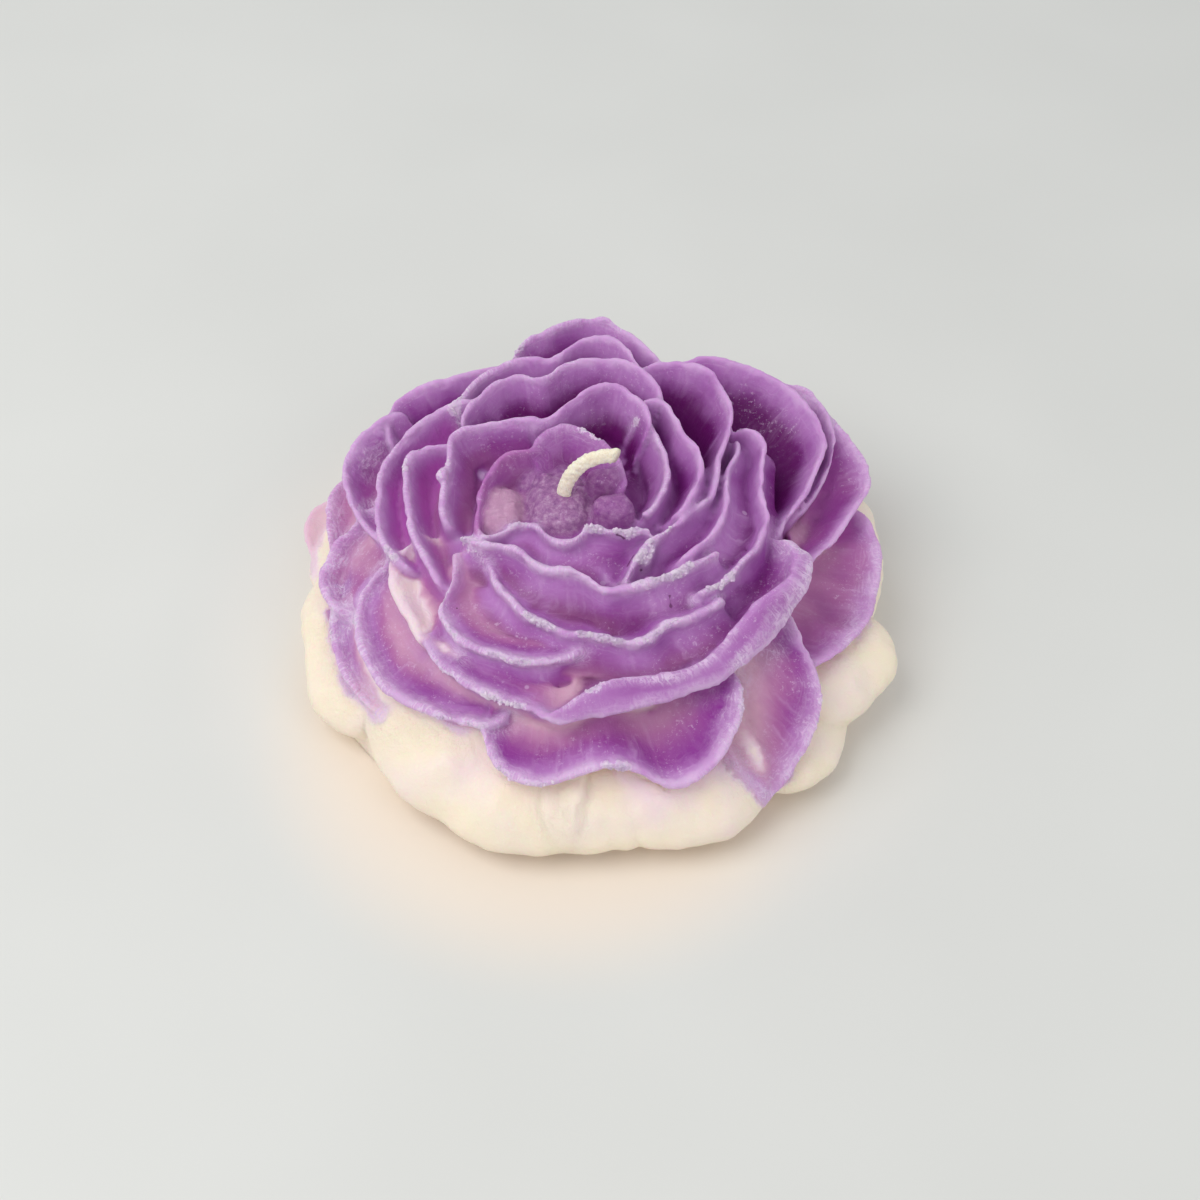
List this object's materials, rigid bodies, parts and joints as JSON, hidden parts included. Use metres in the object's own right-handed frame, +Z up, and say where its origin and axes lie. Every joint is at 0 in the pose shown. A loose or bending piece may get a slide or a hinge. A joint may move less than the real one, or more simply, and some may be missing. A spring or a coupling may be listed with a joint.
{
  "type": "flower candle",
  "caption": "Cast wax candle in the shape of an open peony or rose, purple wax over a cream base, with a bent cotton wick.",
  "frame": {"origin": "middle of the flat face that the candle rests on", "axes": "+Z up, out of the flower; the front, where the petals open lowest, is towards -Y"},
  "size_m": [0.0886, 0.0865, 0.0354],
  "materials": {
    "two_colour_wax": "satin candle wax, purple above and fading to cream at the base, with a pale bloom on the petal rims",
    "waxed_cotton": "braided cotton, stiff with wax"
  },
  "bodies": {
    "root": {"wax_body": "two_colour_wax", "wick": "waxed_cotton"}
  },
  "joints": []
}
